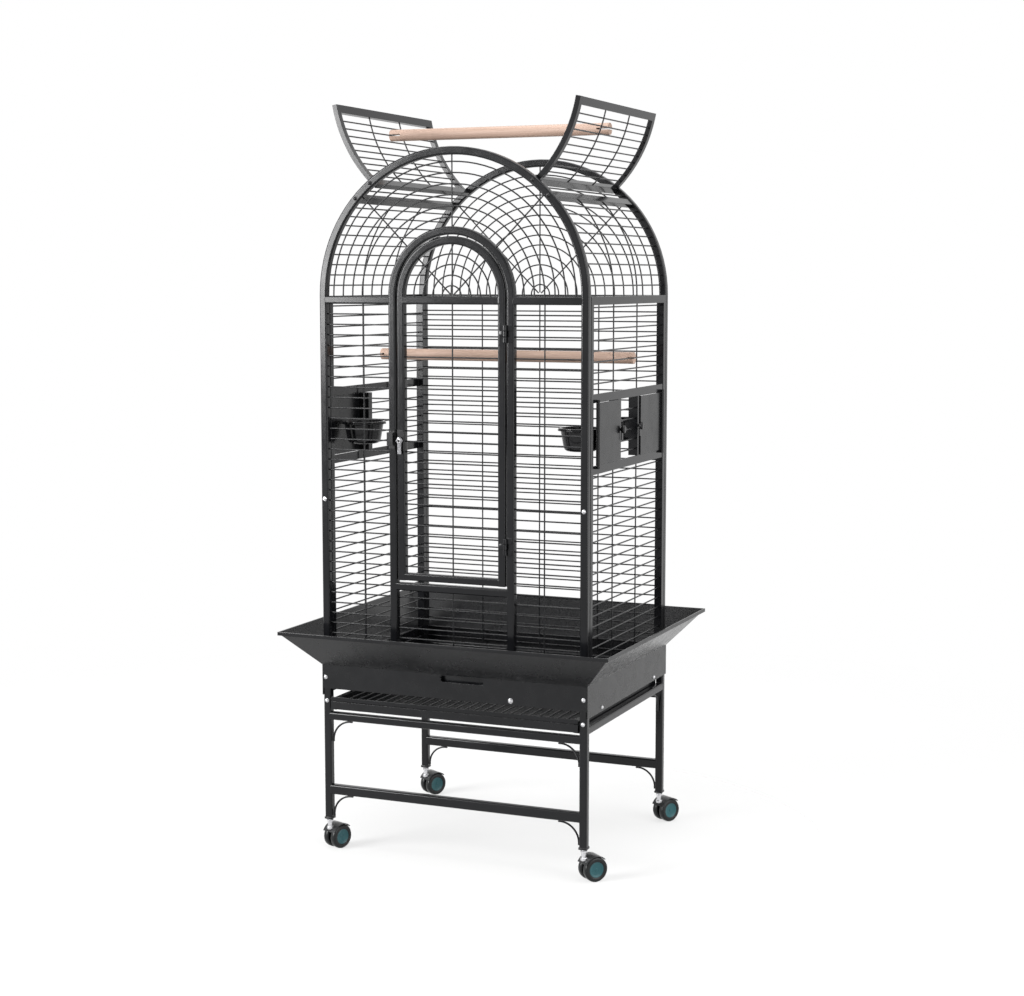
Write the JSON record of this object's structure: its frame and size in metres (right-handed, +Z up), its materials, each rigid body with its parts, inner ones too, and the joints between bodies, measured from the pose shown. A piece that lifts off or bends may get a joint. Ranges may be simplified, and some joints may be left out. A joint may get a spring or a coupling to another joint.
{
  "type": "bird cage on stand",
  "caption": "Arched open-top bird cage of tube and wire on a caster stand, with hinged roof flaps, swing-out feeders, front door, flared seed guard and slide-out tray.",
  "frame": {"origin": "on the floor under the middle of the cage", "axes": "+X to the right seen from the front, +Y to the rear, +Z up"},
  "size_m": [0.716, 0.612, 1.5248],
  "materials": {
    "black_coat": "satin powder coat",
    "black_sheet": "satin powder coat on folded sheet",
    "perch_wood": "bare dowel",
    "bright_metal": "bright plated",
    "latch_black": "satin",
    "bowl_plastic": "glossy",
    "caster_plastic": "moulded",
    "wheel_tread": "moulded"
  },
  "bodies": {
    "cage": {"stand_left": "black_coat", "stand_right": "black_coat", "stand_rails": "black_coat", "stand_gussets": "black_coat", "tray_runners": "black_coat", "base_front": "black_sheet", "base_rear": "black_sheet", "base_left": "black_sheet", "base_right": "black_sheet", "front_arch": "black_coat", "rear_arch": "black_coat", "door_jamb": "black_coat", "front_rails": "black_coat", "rear_rails": "black_coat", "side_frame_left": "black_coat", "side_frame_right": "black_coat", "front_wires": "black_coat", "front_fan": "black_coat", "rear_wires": "black_coat", "rear_fan": "black_coat", "side_wires_left": "black_coat", "side_wires_right": "black_coat", "roof_bends_left": "black_coat", "roof_bends_right": "black_coat", "roof_bar_left": "black_coat", "roof_bar_right": "black_coat", "latch_keeper": "latch_black", "perch_inner": "perch_wood"},
    "door": {"door_frame": "black_coat", "door_wires": "black_coat", "door_fan": "black_coat", "latch_body": "latch_black"},
    "latch": {"latch_lever": "bright_metal"},
    "flap_left": {"flap_left": "black_coat", "flap_wires_left": "black_coat"},
    "flap_right": {"flap_right": "black_coat", "flap_wires_right": "black_coat"},
    "play_perch": {"play_perch": "perch_wood"},
    "tray": {"tray": "black_sheet"},
    "grate": {"grate_frame": "black_coat", "grate_wires": "black_coat"},
    "feeder_fl": {"feeder_door_fl": "black_sheet"},
    "bowl_fl": {"bowl_fl": "bowl_plastic"},
    "knob_fl": {"feeder_knob_fl": "latch_black"},
    "feeder_fr": {"feeder_door_fr": "black_sheet"},
    "bowl_fr": {"bowl_fr": "bowl_plastic"},
    "knob_fr": {"feeder_knob_fr": "latch_black"},
    "feeder_rr": {"feeder_door_rr": "black_sheet"},
    "bowl_rr": {"bowl_rr": "bowl_plastic"},
    "knob_rr": {"feeder_knob_rr": "latch_black"},
    "caster_fl": {"caster_hood_fl": "caster_plastic"},
    "wheels_fl": {"caster_wheels_fl": "wheel_tread"},
    "caster_fr": {"caster_hood_fr": "caster_plastic"},
    "wheels_fr": {"caster_wheels_fr": "wheel_tread"},
    "caster_rl": {"caster_hood_rl": "caster_plastic"},
    "wheels_rl": {"caster_wheels_rl": "wheel_tread"},
    "caster_rr": {"caster_hood_rr": "caster_plastic"},
    "wheels_rr": {"caster_wheels_rr": "wheel_tread"}
  },
  "joints": [
    {"name": "door_hinge", "type": "hinge", "parent": "cage", "child": "door", "pos_m": [0.1185, -0.2422, 0.86], "axis": [0, 0, 1], "range_deg": [0, 170]},
    {"name": "latch_turn", "type": "hinge", "parent": "door", "child": "latch", "pos_m": [-0.109, -0.2443, 0.859], "axis": [0, 1, 0], "range_deg": [0, 90]},
    {"name": "left_flap_hinge", "type": "hinge", "parent": "cage", "child": "flap_left", "pos_m": [-0.17362, 0, 1.36722], "axis": [0, 1, 0], "range_deg": [0, 99.5]},
    {"name": "right_flap_hinge", "type": "hinge", "parent": "cage", "child": "flap_right", "pos_m": [0.17362, 0, 1.36722], "axis": [0, 1, 0], "range_deg": [-99.5, 0]},
    {"name": "play_perch_lift", "type": "slide", "parent": "cage", "child": "play_perch", "axis": [0, 0, 1], "range_m": [0, 1.912]},
    {"name": "feeder_hinge_fl", "type": "hinge", "parent": "cage", "child": "feeder_fl", "pos_m": [-0.2938, -0.193, 0.88], "axis": [0, 0, 1], "range_deg": [0, 110]},
    {"name": "bowl_lift_fl", "type": "slide", "parent": "feeder_fl", "child": "bowl_fl", "axis": [0, 0, 1], "range_m": [0, 0.07]},
    {"name": "knob_turn_fl", "type": "hinge", "parent": "cage", "child": "knob_fl", "pos_m": [-0.2958, -0.0545, 0.88], "axis": [1, 0, 0], "range_deg": [-90, 0]},
    {"name": "feeder_hinge_fr", "type": "hinge", "parent": "cage", "child": "feeder_fr", "pos_m": [0.2938, -0.193, 0.88], "axis": [0, 0, 1], "range_deg": [-110, 0]},
    {"name": "bowl_lift_fr", "type": "slide", "parent": "feeder_fr", "child": "bowl_fr", "axis": [0, 0, 1], "range_m": [0, 0.07]},
    {"name": "knob_turn_fr", "type": "hinge", "parent": "cage", "child": "knob_fr", "pos_m": [0.2958, -0.0545, 0.88], "axis": [1, 0, 0], "range_deg": [-90, 0]},
    {"name": "feeder_hinge_rr", "type": "hinge", "parent": "cage", "child": "feeder_rr", "pos_m": [0.2938, 0.193, 0.88], "axis": [0, 0, 1], "range_deg": [0, 110]},
    {"name": "bowl_lift_rr", "type": "slide", "parent": "feeder_rr", "child": "bowl_rr", "axis": [0, 0, 1], "range_m": [0, 0.07]},
    {"name": "knob_turn_rr", "type": "hinge", "parent": "cage", "child": "knob_rr", "pos_m": [0.2958, 0.0545, 0.88], "axis": [1, 0, 0], "range_deg": [0, 90]},
    {"name": "tray_slide", "type": "slide", "parent": "cage", "child": "tray", "axis": [0, -1, 0], "range_m": [0, 0.42]},
    {"name": "grate_slide", "type": "slide", "parent": "cage", "child": "grate", "axis": [0, -1, 0], "range_m": [0, 0.42]},
    {"name": "swivel_fl", "type": "hinge", "parent": "cage", "child": "caster_fl", "pos_m": [-0.282, -0.23, 0.07], "axis": [0, 0, 1], "continuous": true},
    {"name": "wheel_spin_fl", "type": "hinge", "parent": "caster_fl", "child": "wheels_fl", "pos_m": [-0.27516, -0.21121, 0.025], "axis": [0.9397, -0.342, 0], "continuous": true},
    {"name": "swivel_fr", "type": "hinge", "parent": "cage", "child": "caster_fr", "pos_m": [0.282, -0.23, 0.07], "axis": [0, 0, 1], "continuous": true},
    {"name": "wheel_spin_fr", "type": "hinge", "parent": "caster_fr", "child": "wheels_fr", "pos_m": [0.29486, -0.21468, 0.025], "axis": [0.766, -0.6428, 0], "continuous": true},
    {"name": "swivel_rl", "type": "hinge", "parent": "cage", "child": "caster_rl", "pos_m": [-0.282, 0.23, 0.07], "axis": [0, 0, 1], "continuous": true},
    {"name": "wheel_spin_rl", "type": "hinge", "parent": "caster_rl", "child": "wheels_rl", "pos_m": [-0.272, 0.24732, 0.025], "axis": [0.866, -0.5, 0], "continuous": true},
    {"name": "swivel_rr", "type": "hinge", "parent": "cage", "child": "caster_rr", "pos_m": [0.282, 0.23, 0.07], "axis": [0, 0, 1], "continuous": true},
    {"name": "wheel_spin_rr", "type": "hinge", "parent": "caster_rr", "child": "wheels_rr", "pos_m": [0.292, 0.24732, 0.025], "axis": [0.866, -0.5, 0], "continuous": true}
  ],
  "couplings": [
    {"joint": "right_flap_hinge", "follows": "left_flap_hinge", "ratio": -1},
    {"joint": "play_perch_lift", "follows": "left_flap_hinge", "m_per_rad": 1.1}
  ]
}
